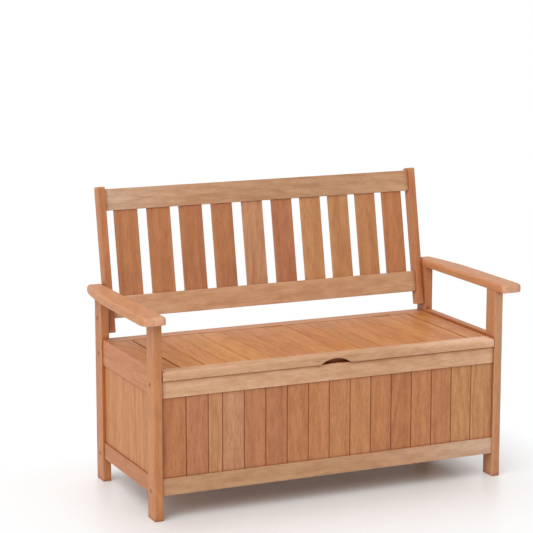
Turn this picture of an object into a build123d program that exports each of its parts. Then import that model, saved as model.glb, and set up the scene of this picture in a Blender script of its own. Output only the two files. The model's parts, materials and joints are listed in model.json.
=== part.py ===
from build123d import *
from math import cos, hypot, pi, radians, sin, sqrt
import os

# Patio storage bench. Millimetres, Z up, the front faces -Y, and the origin lies on the floor
# under the middle of the whole bench.

# Driving dimensions: posts
post_span = 1128.0  # outer face of the left posts to outer face of the right posts
frame_depth = 490.0  # front face of the front posts to rear face of the rear posts
post_thickness = 26.0
post_depth = 55.0
post_height = 577.0
post_round = 2.5
foot_chamfer = 1.5

# Driving dimensions: armrests
arm_thickness = 24.0
arm_front_overhang = 42.0
arm_side_overhang = 46.0
arm_rear_overhang = 23.0  # what is left of the side overhang at the rear end
arm_straight = 292.0  # straight stretch of the outer edge, from the front end
arm_outer_corner = 26.0
arm_inner_corner = 13.0
arm_round = 10.0
arm_under_round = 2.0

# Driving dimensions: box walls
foot_height = 72.0  # floor to the underside of the box
box_height = 334.0
rail_height = 50.0
rail_thickness = 18.0
rail_setback = 5.5
edge_round = 1.5
board_thickness = 10.0
board_count = 16
narrow_board = 2  # which board, counted from zero at the left, is the narrow one
narrow_width = 44.0
end_board_extra = 7.0  # how much wider the boards beside the posts are than the others
board_bevel = 1.3
board_gap = 0.4
tongue_length = 4.0
tongue_thickness = 3.2
groove_depth = 8.0
groove_clearance = 0.2
side_setback = 5.0
side_top_rail_height = 78.0
side_rail_lip = 8.0  # how far the side top rails stand above the seat
panel_thickness = 12.0
batten_size = 24.0
batten_drop = 2.0  # top of the corner battens below the top of the box

# Driving dimensions: floor of the box
floor_lift = 4.0  # cleats above the underside of the box
cleat_size = 18.0
floor_thickness = 10.0
floor_count = 12
floor_gap = 3.0
floor_clearance = 0.5
strip_count = 3

# Driving dimensions: lid
lid_thickness = 26.0
lid_rest_gap = 0.3
lid_side_gap = 2.0
lid_setback = 0.5
lid_rail_depth = 42.0
lid_rail_round = 8.0
lid_stile_width = 66.0
lid_slit = 4.5
lid_board_thickness = 14.0
lid_board_count = 13
lid_tongue_thickness = 5.0
lid_tongue_length = 7.7
middle_batten_reach = 214.0  # hinge axis to the middle of the batten
middle_batten_width = 38.0
rear_batten_width = 40.0
grip_width = 96.0
grip_height = 16.0
grip_depth = 24.0
grip_offset = 6.0
grip_bevel = 2.0
lid_open_angle = 70.0

# Driving dimensions: hinges
hinge_count = 3
hinge_pitch = 380.0
hinge_length = 60.0
hinge_gap = 4.0
hinge_pin_radius = 1.5
pin_clearance = 0.05
knuckle_radius = 3.2
knuckle_count = 5
knuckle_clearance = 0.4
leaf_thickness = 1.5
leaf_height = 24.0
leaf_screw_pitch = 36.0
leaf_screw_drop = 20.0

# Driving dimensions: backrest
lean_angle = 10.5
stile_thickness = 23.0
stile_depth = 36.0
stile_bottom = 26.0  # measured up the lean from the seat
stile_top = 465.0
stile_round = 2.5
back_rail_height = 65.5
back_rail_thickness = 18.0
back_rail_setback = 10.0
back_rail_drop = 7.2  # top of the upper rail below the stile tops
back_seat_gap = 68.0  # seat to the lower rail, up the lean
slat_count = 10
slat_width = 69.0
wide_slat_count = 3  # counted from the left
wide_slat_extra = 6.0
slat_pitch = 100.5
slat_bow = 17.4  # shift of the middle of the row, so the gaps close up towards the right
slat_thickness = 10.0
slat_tenon = 12.0
slat_round = 2.0

# Driving dimensions: gas struts
strut_wall_gap = 16.0  # strut centre line to the inner face of the side
lid_pivot_reach = 92.0
lid_pivot_drop = 14.0
box_pivot_reach = 143.0
box_pivot_height = 227.0
strut_radius = 7.5
strut_wall = 1.2
strut_end_wall = 4.0
strut_guide = 6.0
strut_edge = 0.8
rod_radius = 3.0
rod_show = 6.0  # bare rod when the lid is down
piston_height = 8.0
piston_clearance = 0.06
piston_stop = 1.0  # left between piston and guide with the lid fully up
socket_radius = 7.0
socket_width = 10.0
socket_neck = 5.0
socket_neck_radius = 4.5
stud_radius = 4.0
stud_depth = 7.8
stud_clearance = 0.5
stud_collar_radius = 6.0
stud_side_gap = 0.4
bracket_plate = 2.0
bracket_length = 44.0
bracket_height = 30.0
bracket_width = 16.0
bracket_screw_pitch = 30.0
bracket_screw_inset = 8.0
ear_radius = 8.0
ear_gap = 2.0

# Driving dimensions: fasteners
bolt_radius = 3.0
bolt_head_radius = 6.0
bolt_head_height = 4.0
bolt_sink = 5.0
bolt_sink_radius = 6.8
bolt_hole_clearance = 0.3
bolt_socket_radius = 2.3
bolt_socket_depth = 2.5
bolt_grip = 20.0  # how far the bolts reach past the posts
bolt_inset = 31.0
bolt_margin = 12.0
back_bolt_drop = 23.5  # below the post tops
back_bolt_pitch = 53.0  # along the lean
nut_radius = 5.0
nut_length = 14.0
nut_inset = 11.0
nut_clearance = 0.1
thread_clearance = 0.05
dowel_radius = 4.0
dowel_length = 24.0
dowel_clearance = 0.1
dowel_pitch = 26.0
side_dowel_pitch = 44.0
hinge_rail_dowels = 5
hinge_rail_dowel_pitch = 220.0
screw_radius = 1.75
screw_head_radius = 3.4
screw_head_height = 1.5
screw_clearance = 0.1
screw_slot_length = 3.8
screw_slot_width = 0.9
screw_slot_depth = 1.2
hinge_screw_length = 16.0
batten_screw_length = 22.0
short_screw_length = 11.0
corner_screw_length = 36.0
corner_screw_inset = 12.0
cleat_screw_length = 28.0
cleat_screw_count = 5

# Places worked out from the driving dimensions
sides = (("left", -1), ("right", 1))
lean = radians(lean_angle)
box_top = foot_height + box_height
lid_bottom = box_top + lid_rest_gap
seat_top = lid_bottom + lid_thickness
outer_x = post_span / 2
inner_x = outer_x - post_thickness
stile_lean = (stile_top - stile_round) * sin(lean) + (stile_depth - stile_round) * cos(lean) + stile_round
rear_reach = frame_depth - post_depth + stile_lean
y_front = arm_front_overhang - (arm_front_overhang + rear_reach) / 2
y_rear = y_front + frame_depth
rear_post_y = y_rear - post_depth
hinge_y = rear_post_y - hinge_gap / 2
walls = (("front", y_front, 1), ("rear", y_rear, -1))

side_rail_thickness = post_thickness - side_setback
side_rail_x = outer_x - side_setback - side_rail_thickness / 2
side_panel_x = side_rail_x
panel_inner_x = side_panel_x - panel_thickness / 2
side_rail_top = seat_top + side_rail_lip
side_rail_low = side_rail_top - side_top_rail_height

lid_half = inner_x - lid_side_gap
lid_front = y_front + lid_setback
lid_rear = rear_post_y - hinge_gap
lid_stile_inner = lid_half - lid_stile_width
lid_board_front = lid_front + lid_rail_depth
lid_tongue_z = seat_top - lid_board_thickness / 2
middle_batten_y = hinge_y - middle_batten_reach
rear_batten_y = lid_rear - rear_batten_width / 2
hinge_relief = (knuckle_radius + knuckle_clearance) * sqrt(2) - hinge_gap / 2
leaf_top = knuckle_radius + knuckle_clearance

floor_low = foot_height + floor_lift + cleat_size
floor_top = floor_low + floor_thickness
floor_half = inner_x - batten_size - floor_clearance
floor_pitch = 2 * floor_half / floor_count

back = Plane(origin=(0, rear_post_y, seat_top), x_dir=(1, 0, 0), z_dir=(0, -cos(lean), sin(lean)))
stile_inner = inner_x - stile_thickness
back_rail_high = stile_top - back_rail_drop
back_rail_middle = -back_rail_setback - back_rail_thickness / 2
slat_front = back_rail_middle + slat_thickness / 2
slat_places = []
for n in range(slat_count):
    bow = slat_bow * sin(pi * (n + 1 / 2) / slat_count)
    width = slat_width + (wide_slat_extra if n < wide_slat_count else 0)
    slat_places.append(((n - (slat_count - 1) / 2) * slat_pitch + bow, width))
back_bolt_rise = post_height - back_bolt_drop - seat_top + stile_depth / 2 * sin(lean)
back_bolt_high = back_bolt_rise / cos(lean)
back_bolt_low = back_bolt_high - back_bolt_pitch
back_rails = {
    "top": back_rail_high - back_rail_height / 2,
    "bottom": back_seat_gap + back_rail_height / 2,
}

strut_x = inner_x - strut_wall_gap
lid_pivot_y = hinge_y - lid_pivot_reach
lid_pivot_z = lid_bottom - lid_pivot_drop
box_pivot_y = hinge_y - box_pivot_reach
pivot_below = seat_top - lid_pivot_z
swing = radians(lid_open_angle)
open_pivot_y = hinge_y - lid_pivot_reach * cos(swing) - pivot_below * sin(swing)
open_pivot_z = seat_top + lid_pivot_reach * sin(swing) - pivot_below * cos(swing)
closed_length = hypot(lid_pivot_y - box_pivot_y, lid_pivot_z - box_pivot_height)
open_length = hypot(open_pivot_y - box_pivot_y, open_pivot_z - box_pivot_height)
strut_stroke = open_length - closed_length
tube_start = socket_radius + socket_neck
tube_end = closed_length - tube_start - rod_show
piston_foot = tube_end - strut_guide - strut_stroke - piston_stop
chamber_radius = strut_radius - strut_wall

os.makedirs("parts", exist_ok=True)


def keep(builder, name):
    """Label a finished piece and write it as a node of that name."""
    builder.part.label = name
    export_step(builder.part, f"parts/{name}.step")


def block(x_limits, y_limits, z_limits, mode=Mode.ADD):
    """A square-sided block between two limits on each axis, added or cut."""
    limits = (x_limits, y_limits, z_limits)
    with Locations(tuple((low + high) / 2 for low, high in limits)):
        Box(*[abs(high - low) for low, high in limits], mode=mode)


def board_section(left, width, face, inward, thickness, tongue, groove):
    """Outline of a matched board: bevelled face edges, a tongue on the right and a groove on the left."""
    right = left + width
    middle = face + inward * thickness / 2
    rear = face + inward * thickness
    half_tongue = inward * tongue_thickness / 2
    half_groove = inward * (tongue_thickness / 2 + groove_clearance)
    bevel = face + inward * board_bevel
    points = [(left, bevel), (left + board_bevel, face), (right - board_bevel, face), (right, bevel)]
    if tongue:
        tip = right + tongue_length
        points += [(right, middle - half_tongue), (tip, middle - half_tongue)]
        points += [(tip, middle + half_tongue), (right, middle + half_tongue)]
    points += [(right, rear), (left, rear)]
    if groove:
        floor = left + tongue_length + groove_clearance
        points += [(left, middle + half_groove), (floor, middle + half_groove)]
        points += [(floor, middle - half_groove), (left, middle - half_groove)]
    return points


def drill(places, radius, depth, mode=Mode.SUBTRACT):
    """Round holes, or round pins, going in along -Z of each place."""
    with Locations(*places):
        Cylinder(radius, depth, align=(Align.CENTER, Align.CENTER, Align.MAX), mode=mode)


def dowels(places, grow=0.0, mode=Mode.ADD):
    """Dowels centred on the joint faces at the places, or their holes grown by a clearance."""
    with Locations(*places):
        Cylinder(dowel_radius + grow, dowel_length + 2 * grow, mode=mode)


def screws(places, length, grow=0.0, mode=Mode.ADD):
    """Cross-head countersunk screws going in along -Z of each place, or their holes grown by a clearance."""
    seat = (Align.CENTER, Align.CENTER, Align.MAX)
    with Locations(*places):
        Cylinder(screw_radius + grow, length + grow, align=seat, mode=mode)
        Cone(screw_radius + grow, screw_head_radius + grow, screw_head_height, align=seat, mode=mode)
        if mode == Mode.ADD:
            Box(screw_slot_length, screw_slot_width, screw_slot_depth, align=seat, mode=Mode.SUBTRACT)
            Box(screw_slot_width, screw_slot_length, screw_slot_depth, align=seat, mode=Mode.SUBTRACT)


def screw_holes(places, length):
    """Holes for the screws at the places."""
    screws(places, length, screw_clearance, Mode.SUBTRACT)


def ease(y, facing):
    """Cut the upper edge beside the hinge knuckles back at 45 degrees, over the whole width."""
    shift = hinge_relief * (1 / sqrt(2) - 1 / 2)
    with Locations(Location((0, y + facing * shift, seat_top + shift), (45, 0, 0))):
        Box(2 * inner_x, 2 * hinge_relief, 2 * hinge_relief, mode=Mode.SUBTRACT)


# Places of the bolts, on the outer faces of the posts
bolt_heights = (foot_height + bolt_margin, box_top - bolt_margin)
wall_bolts = []
wall_nuts = []
for wall, face, inward in walls:
    for side_name, side in sides:
        for height in bolt_heights:
            bolt_y = face + inward * bolt_inset
            nut_y = bolt_y - inward * nut_length / 2
            wall_bolts.append(Plane(origin=(side * outer_x, bolt_y, height), z_dir=(side, 0, 0)))
            nut_origin = (side * (inner_x - nut_inset), nut_y, height)
            wall_nuts.append(Plane(origin=nut_origin, z_dir=(0, -inward, 0)))

back_bolts = []
back_nuts = []
for side_name, side in sides:
    for climb in (back_bolt_low, back_bolt_high):
        point = back.from_local_coords((side * outer_x, climb, -stile_depth / 2))
        back_bolts.append(Plane(origin=point, z_dir=(side, 0, 0)))
        front_end = (side * (inner_x - nut_inset), climb, -stile_depth / 2 + nut_length / 2)
        back_nuts.append(Plane(origin=back.from_local_coords(front_end), z_dir=back.z_dir))

# Places of the dowels, on the faces where two pieces meet
side_dowels = []
arm_dowels = []
for side_name, side in sides:
    for joint_y in (y_front + post_depth, rear_post_y):
        for middle, pitch in (
            (side_rail_low + side_top_rail_height / 2, side_dowel_pitch),
            (foot_height + rail_height / 2, dowel_pitch),
        ):
            for step in (-1, 1):
                origin = (side * side_rail_x, joint_y, middle + step * pitch / 2)
                side_dowels.append(Plane(origin=origin, z_dir=(0, 1, 0)))
    for post_y in (y_front + post_depth / 2, y_rear - post_depth / 2):
        for step in (-1, 1):
            origin = (side * (outer_x - post_thickness / 2), post_y + step * dowel_pitch / 2, post_height)
            arm_dowels.append(Plane(origin=origin, z_dir=(0, 0, 1)))

back_dowels = []
for side_name, side in sides:
    for middle in back_rails.values():
        for step in (-1, 1):
            point = (side * stile_inner, middle + step * dowel_pitch / 2, back_rail_middle)
            back_dowels.append(Plane(origin=back.from_local_coords(point), z_dir=(1, 0, 0)))

hinge_rail_places = []
for n in range(hinge_rail_dowels):
    x = (n - (hinge_rail_dowels - 1) / 2) * hinge_rail_dowel_pitch
    rail_y = y_rear - rail_setback - rail_thickness / 2
    hinge_rail_places.append(Plane(origin=(x, rail_y, box_top), z_dir=(0, 0, 1)))

# Places of the hinges and their screws
hinge_centres = [(n - (hinge_count - 1) / 2) * hinge_pitch for n in range(hinge_count)]
screw_z = seat_top - leaf_screw_drop
leaf_screw_xs = [x + step * leaf_screw_pitch / 2 for x in hinge_centres for step in (-1, 1)]
rail_leaf_face = rear_post_y - leaf_thickness
lid_leaf_face = lid_rear + leaf_thickness
rail_leaf_screws = [Plane(origin=(x, rail_leaf_face, screw_z), z_dir=(0, -1, 0)) for x in leaf_screw_xs]
lid_leaf_screws = [Plane(origin=(x, lid_leaf_face, screw_z), z_dir=(0, 1, 0)) for x in leaf_screw_xs]

# Places of the lid's batten screws, one in each board
lid_board_pitch = 2 * (lid_stile_inner - lid_slit) / lid_board_count
lid_board_lefts = [-(lid_stile_inner - lid_slit) + n * lid_board_pitch for n in range(lid_board_count)]
batten_screws = []
for batten_y in (middle_batten_y, rear_batten_y):
    for left in lid_board_lefts:
        origin = (left + lid_board_pitch / 2, batten_y, lid_bottom)
        batten_screws.append(Plane(origin=origin, z_dir=(0, 0, -1)))

# Places of the strut brackets' screws
lid_bracket_screws = []
box_bracket_screws = []
bracket_inner_x = strut_x + socket_width / 2 + ear_gap + bracket_plate - bracket_width
for side_name, side in sides:
    for step in (-1, 1):
        shift = step * bracket_screw_pitch / 2
        screw_x = side * (bracket_inner_x + bracket_screw_inset)
        under = (screw_x, lid_pivot_y + shift, lid_bottom - bracket_plate)
        lid_bracket_screws.append(Plane(origin=under, z_dir=(0, 0, -1)))
        inside = (side * (panel_inner_x - bracket_plate), box_pivot_y + shift, box_pivot_height)
        box_bracket_screws.append(Plane(origin=inside, z_dir=(-side, 0, 0)))

# Places of the screws in the corner battens, the cleats and the floor
corner_screws = []
cleat_screws = []
floor_screws = []
for wall, face, inward in walls:
    rail_inner = face + inward * (rail_setback + rail_thickness)
    heights = (foot_height + rail_height - corner_screw_inset, box_top - rail_height + corner_screw_inset)
    for side_name, side in sides:
        for height in heights:
            origin = (side * (inner_x - batten_size / 2), rail_inner + inward * batten_size, height)
            corner_screws.append(Plane(origin=origin, z_dir=(0, inward, 0)))
    for n in range(cleat_screw_count):
        x = (2 * n - (cleat_screw_count - 1)) * floor_pitch
        origin = (x, rail_inner + inward * cleat_size, floor_low - cleat_size / 2)
        cleat_screws.append(Plane(origin=origin, z_dir=(0, inward, 0)))
    for n in range(floor_count):
        x = (n - (floor_count - 1) / 2) * floor_pitch
        origin = (x, rail_inner + inward * cleat_size / 2, floor_top)
        floor_screws.append(Plane(origin=origin, z_dir=(0, 0, 1)))

strip_front = y_front + rail_setback + rail_thickness + batten_size + floor_clearance
strip_rear = y_rear - rail_setback - rail_thickness - batten_size - floor_clearance
strip_pitch = (strip_rear - strip_front) / strip_count
strip_screws = []
for side_name, side in sides:
    for n in range(strip_count):
        strip_y = strip_front + (n + 1 / 2) * strip_pitch
        origin = (side * (inner_x - batten_size), strip_y, floor_low)
        strip_screws.append(Plane(origin=origin, z_dir=(-side, 0, 0)))

# Posts, with grooves for the side panels and holes for bolts and dowels
panel_groove = panel_thickness / 2 + groove_clearance
panel_low = foot_height + rail_height - groove_depth
panel_high = side_rail_low + groove_depth
for wall, face, inward in walls:
    for side_name, side in sides:
        joint_y = face + inward * post_depth
        with BuildPart() as post:
            block((side * outer_x, side * inner_x), (face, joint_y), (0, post_height))
            fillet(post.edges().filter_by(Axis.Z), post_round)
            chamfer(post.faces().sort_by(Axis.Z)[0].edges(), foot_chamfer)
            block(
                (side * (side_panel_x - panel_groove), side * (side_panel_x + panel_groove)),
                (joint_y - inward * groove_depth, joint_y + inward * groove_depth),
                (panel_low, panel_high),
                Mode.SUBTRACT,
            )
            dowels(side_dowels + arm_dowels, dowel_clearance, Mode.SUBTRACT)
            drill(wall_bolts + back_bolts, bolt_radius + bolt_hole_clearance, post_thickness)
            drill(wall_bolts + back_bolts, bolt_sink_radius, bolt_sink)
        keep(post, f"post_{wall}_{side_name}")

# Armrests
arm_front = y_front - arm_front_overhang
for side_name, side in sides:
    arm_outer = side * (outer_x + arm_side_overhang)
    arm_rear_outer = side * (outer_x + arm_rear_overhang)
    arm_inner = side * inner_x
    with BuildPart() as arm:
        with BuildSketch(Plane.XY.offset(post_height)) as outline:
            with BuildLine():
                Line((arm_inner, y_rear), (arm_inner, arm_front))
                Line((arm_inner, arm_front), (arm_outer, arm_front))
                Line((arm_outer, arm_front), (arm_outer, arm_front + arm_straight))
                TangentArc((arm_outer, arm_front + arm_straight), (arm_rear_outer, y_rear), tangent=(0, 1))
                Line((arm_rear_outer, y_rear), (arm_inner, y_rear))
            make_face()
            front_corners = outline.vertices().group_by(Axis.Y)[0].sort_by(Axis.X)[::side]
            fillet(front_corners[0], arm_inner_corner)
            fillet(outline.vertices().group_by(Axis.Y)[0].sort_by(Axis.X)[::side][-1], arm_outer_corner)
        extrude(amount=arm_thickness)
        top_edges = arm.faces().sort_by(Axis.Z)[-1].edges()
        fillet(top_edges - top_edges.group_by(Axis.Y)[-1], arm_round)
        under_edges = arm.faces().sort_by(Axis.Z)[0].edges()
        fillet(under_edges - under_edges.group_by(Axis.Y)[-1], arm_under_round)
        dowels(arm_dowels, dowel_clearance, Mode.SUBTRACT)
    keep(arm, f"arm_{side_name}")

# Side frames: rails and panels between the posts
for side_name, side in sides:
    rail_x = (side * (outer_x - side_setback), side * inner_x)
    groove_x = (side * (side_panel_x - panel_groove), side * (side_panel_x + panel_groove))
    between = (y_front + post_depth, rear_post_y)
    with BuildPart() as top_rail:
        block(rail_x, between, (side_rail_low, side_rail_top))
        fillet(top_rail.edges().filter_by(Axis.Y), edge_round)
        block(groove_x, between, (side_rail_low - groove_depth, panel_high), Mode.SUBTRACT)
        dowels(side_dowels, dowel_clearance, Mode.SUBTRACT)
    keep(top_rail, f"side_top_rail_{side_name}")
    with BuildPart() as bottom_rail:
        block(rail_x, between, (foot_height, foot_height + rail_height))
        fillet(bottom_rail.edges().filter_by(Axis.Y), edge_round)
        block(groove_x, between, (panel_low, panel_low + 2 * groove_depth), Mode.SUBTRACT)
        dowels(side_dowels, dowel_clearance, Mode.SUBTRACT)
        screw_holes(strip_screws, corner_screw_length)
    keep(bottom_rail, f"side_bottom_rail_{side_name}")
    with BuildPart() as panel:
        block(
            (side * panel_inner_x, side * (panel_inner_x + panel_thickness)),
            (between[0] - groove_depth + groove_clearance, between[1] + groove_depth - groove_clearance),
            (panel_low + groove_clearance, panel_high - groove_clearance),
        )
        screw_holes(box_bracket_screws, short_screw_length)
    keep(panel, f"side_panel_{side_name}")

# Front and rear walls: rails, matched boards and corner battens
board_pitch = (2 * inner_x - narrow_width - 2 * end_board_extra) / (board_count - 1)
board_low = foot_height + rail_height - groove_depth + groove_clearance
board_high = box_top - rail_height + groove_depth - groove_clearance
for wall, face, inward in walls:
    rail_outer = face + inward * rail_setback
    rail_inner = rail_outer + inward * rail_thickness
    board_face = rail_outer + inward * (rail_thickness - board_thickness) / 2
    board_back = board_face + inward * board_thickness
    groove_y = (board_face - inward * groove_clearance, board_back + inward * groove_clearance)
    top_low = box_top - rail_height
    bottom_high = foot_height + rail_height
    with BuildPart() as top_rail:
        block((-inner_x, inner_x), (rail_outer, rail_inner), (top_low, box_top))
        fillet(top_rail.edges().filter_by(Axis.X), edge_round)
        block((-inner_x, inner_x), groove_y, (top_low - groove_depth, top_low + groove_depth), Mode.SUBTRACT)
        screw_holes(corner_screws, corner_screw_length)
        dowels(hinge_rail_places, dowel_clearance, Mode.SUBTRACT)
    keep(top_rail, f"{wall}_top_rail")
    with BuildPart() as bottom_rail:
        block((-inner_x, inner_x), (rail_outer, rail_inner), (foot_height, bottom_high))
        fillet(bottom_rail.edges().filter_by(Axis.X), edge_round)
        block(
            (-inner_x, inner_x),
            groove_y,
            (bottom_high - groove_depth, bottom_high + groove_depth),
            Mode.SUBTRACT,
        )
        screw_holes(corner_screws, corner_screw_length)
        screw_holes(cleat_screws, cleat_screw_length)
    keep(bottom_rail, f"{wall}_bottom_rail")
    with BuildPart() as boards:
        left = -inner_x
        for n in range(board_count):
            last = n == board_count - 1
            pitch = narrow_width if n == narrow_board else board_pitch
            if n == 0 or last:
                pitch += end_board_extra
            edge = left + board_gap / 2
            width = pitch - board_gap
            with BuildSketch(Plane.XY.offset(board_low)):
                with BuildLine():
                    section = board_section(edge, width, board_face, inward, board_thickness, not last, n > 0)
                    Polyline(*section, close=True)
                make_face()
            extrude(amount=board_high - board_low)
            left += pitch
    keep(boards, f"{wall}_boards")
    with BuildPart() as battens:
        for side_name, side in sides:
            block(
                (side * (inner_x - batten_size), side * inner_x),
                (rail_inner, rail_inner + inward * batten_size),
                (foot_height, box_top - batten_drop),
            )
        fillet(battens.edges().filter_by(Axis.Z), edge_round)
        drill(wall_bolts, bolt_radius + bolt_hole_clearance, post_thickness + bolt_grip)
        drill(wall_nuts, nut_radius + nut_clearance, 2 * batten_size)
        screw_holes(corner_screws, corner_screw_length)
    keep(battens, f"{wall}_corner_battens")

# Floor of the box: cleats along the rails, filler strips at the sides, boards across
with BuildPart() as cleats:
    for wall, face, inward in walls:
        rail_inner = face + inward * (rail_setback + rail_thickness)
        block(
            (-floor_half, floor_half),
            (rail_inner, rail_inner + inward * cleat_size),
            (floor_low - cleat_size, floor_low),
        )
    for side_name, side in sides:
        block(
            (side * (inner_x - batten_size), side * inner_x),
            (strip_front, strip_rear),
            (floor_low - cleat_size / 2, floor_top),
        )
    screw_holes(cleat_screws, cleat_screw_length)
    screw_holes(floor_screws, batten_screw_length)
    screw_holes(strip_screws, corner_screw_length)
keep(cleats, "floor_cleats")

floor_front = y_front + rail_setback + rail_thickness + floor_clearance
floor_rear = y_rear - rail_setback - rail_thickness - floor_clearance
with BuildPart() as floor_boards:
    for n in range(floor_count):
        left = -floor_half + n * floor_pitch + floor_gap / 2
        block((left, left + floor_pitch - floor_gap), (floor_front, floor_rear), (floor_low, floor_top))
    top_faces = floor_boards.faces().group_by(Axis.Z)[-1]
    chamfer(top_faces.edges().filter_by(Axis.Y), board_bevel)
    screw_holes(floor_screws, batten_screw_length)
keep(floor_boards, "floor_boards")

# Fixed rail behind the lid, which carries the hinges
with BuildPart() as hinge_rail:
    block((-inner_x, inner_x), (rear_post_y, y_rear - rail_setback), (box_top, seat_top))
    fillet(hinge_rail.edges().filter_by(Axis.X).group_by(Axis.Y)[-1], edge_round)
    ease(rear_post_y, -1)
    screw_holes(rail_leaf_screws, hinge_screw_length)
    dowels(hinge_rail_places, dowel_clearance, Mode.SUBTRACT)
keep(hinge_rail, "hinge_rail")

# Hinges: the leaves stand in the gap behind the lid, the knuckles share one pin on the top edge
knuckle_pitch = hinge_length / knuckle_count
leaves = (
    ("hinge_frame_leaves", (rear_post_y - leaf_thickness, rear_post_y), 0, rail_leaf_screws),
    ("hinge_lid_leaves", (lid_rear, lid_rear + leaf_thickness), 1, lid_leaf_screws),
)
for name, leaf_y, first, leaf_screws in leaves:
    with BuildPart() as leaf:
        for centre in hinge_centres:
            block(
                (centre - hinge_length / 2, centre + hinge_length / 2),
                leaf_y,
                (seat_top - leaf_height, seat_top - leaf_top),
            )
            for n in range(first, knuckle_count, 2):
                low = centre - hinge_length / 2 + n * knuckle_pitch + knuckle_clearance / 2
                high = low + knuckle_pitch - knuckle_clearance
                block((low, high), leaf_y, (seat_top - leaf_top, seat_top))
                with Locations(((low + high) / 2, hinge_y, seat_top)):
                    Cylinder(knuckle_radius, high - low, rotation=(0, 90, 0))
            with Locations((centre, hinge_y, seat_top)):
                Cylinder(
                    hinge_pin_radius + pin_clearance,
                    hinge_length + knuckle_pitch,
                    rotation=(0, 90, 0),
                    mode=Mode.SUBTRACT,
                )
        screw_holes(leaf_screws, hinge_screw_length)
    keep(leaf, name)

with BuildPart() as pins:
    with Locations(*[(centre, hinge_y, seat_top) for centre in hinge_centres]):
        Cylinder(hinge_pin_radius, hinge_length, rotation=(0, 90, 0))
keep(pins, "hinge_pins")

# Backrest: stiles, rails and slats, all laid out on the leaning plane
for side_name, side in sides:
    with BuildPart() as stile:
        with BuildSketch(back):
            with Locations((side * (inner_x - stile_thickness / 2), (stile_bottom + stile_top) / 2)):
                Rectangle(stile_thickness, stile_top - stile_bottom)
        extrude(amount=-stile_depth)
        fillet(stile.edges(), stile_round)
        dowels(back_dowels, dowel_clearance, Mode.SUBTRACT)
        drill(back_bolts, bolt_radius + bolt_hole_clearance, post_thickness + bolt_grip)
        drill(back_nuts, nut_radius + nut_clearance, 2 * stile_depth)
    keep(stile, f"back_stile_{side_name}")

slat_low = back_seat_gap + back_rail_height - slat_tenon
slat_high = back_rail_high - back_rail_height + slat_tenon
mortise_shifts = {"top": -back_rail_height / 2, "bottom": back_rail_height / 2}
for level, middle in back_rails.items():
    with BuildPart() as rail:
        with BuildSketch(back.offset(-back_rail_setback)):
            with Locations((0, middle)):
                Rectangle(2 * stile_inner, back_rail_height)
        extrude(amount=-back_rail_thickness)
        fillet(rail.edges().filter_by(Axis.X), edge_round)
        with BuildSketch(back.offset(slat_front + groove_clearance)):
            for x, width in slat_places:
                with Locations((x, middle + mortise_shifts[level])):
                    Rectangle(width + 2 * groove_clearance, 2 * (slat_tenon + groove_clearance))
        extrude(amount=-slat_thickness - 2 * groove_clearance, mode=Mode.SUBTRACT)
        dowels(back_dowels, dowel_clearance, Mode.SUBTRACT)
    keep(rail, f"back_{level}_rail")

for n, (x, width) in enumerate(slat_places):
    with BuildPart() as slat:
        with BuildSketch(back.offset(slat_front)):
            with Locations((x, (slat_low + slat_high) / 2)):
                Rectangle(width, slat_high - slat_low)
        extrude(amount=-slat_thickness)
        fillet(slat.edges().filter_by(Axis((0, 0, 0), back.y_dir)), slat_round)
    keep(slat, f"back_slat_{n + 1}")

# Lid: front rail with the finger grip, stiles, boards and battens
grip_radius = (grip_width**2 / 4 + grip_height**2) / (2 * grip_height)
lid_groove = lid_tongue_thickness / 2 + groove_clearance
with BuildPart() as lid_front_rail:
    block((-lid_half, lid_half), (lid_front, lid_board_front), (lid_bottom, seat_top))
    front_edges = lid_front_rail.edges().filter_by(Axis.X).group_by(Axis.Y)[0].sort_by(Axis.Z)
    fillet(front_edges[-1], lid_rail_round)
    fillet(lid_front_rail.edges().filter_by(Axis.X).group_by(Axis.Y)[0].sort_by(Axis.Z)[0], edge_round)
    block(
        (-lid_half, lid_half),
        (lid_board_front - groove_depth, lid_board_front + groove_depth),
        (lid_tongue_z - lid_groove, lid_tongue_z + lid_groove),
        Mode.SUBTRACT,
    )
    grip_centre = (grip_offset, lid_front, lid_bottom + grip_height - grip_radius)
    grip = Plane(origin=grip_centre, z_dir=(0, -1, 0))
    drill([grip], grip_radius, grip_depth)
    with Locations(grip):
        Cone(
            grip_radius,
            grip_radius + grip_bevel,
            grip_bevel,
            align=(Align.CENTER, Align.CENTER, Align.MAX),
            mode=Mode.SUBTRACT,
        )
keep(lid_front_rail, "lid_front_rail")

for side_name, side in sides:
    with BuildPart() as lid_stile:
        block((side * lid_stile_inner, side * lid_half), (lid_board_front, lid_rear), (lid_bottom, seat_top))
        fillet(lid_stile.edges().filter_by(Axis.Y), edge_round)
        ease(lid_rear, 1)
        block(
            (side * (lid_stile_inner + edge_round), side * (lid_half - edge_round)),
            (lid_board_front - lid_tongue_length, lid_board_front),
            (lid_tongue_z - lid_tongue_thickness / 2, lid_tongue_z + lid_tongue_thickness / 2),
        )
        screw_holes(lid_bracket_screws, short_screw_length)
    keep(lid_stile, f"lid_stile_{side_name}")

with BuildPart() as lid_boards:
    for n, left in enumerate(lid_board_lefts):
        last = n == lid_board_count - 1
        left_edge = left + board_gap / 2
        width = lid_board_pitch - board_gap
        with BuildSketch(Plane.XZ.offset(-lid_board_front)):
            with BuildLine():
                section = board_section(left_edge, width, seat_top, -1, lid_board_thickness, not last, n > 0)
                Polyline(*section, close=True)
            make_face()
        extrude(amount=lid_board_front - lid_rear)
        block(
            (left_edge + tongue_length + groove_clearance, left_edge + width),
            (lid_board_front - lid_tongue_length, lid_board_front),
            (lid_tongue_z - lid_tongue_thickness / 2, lid_tongue_z + lid_tongue_thickness / 2),
        )
    ease(lid_rear, 1)
    screw_holes(batten_screws, batten_screw_length)
keep(lid_boards, "lid_boards")

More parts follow.
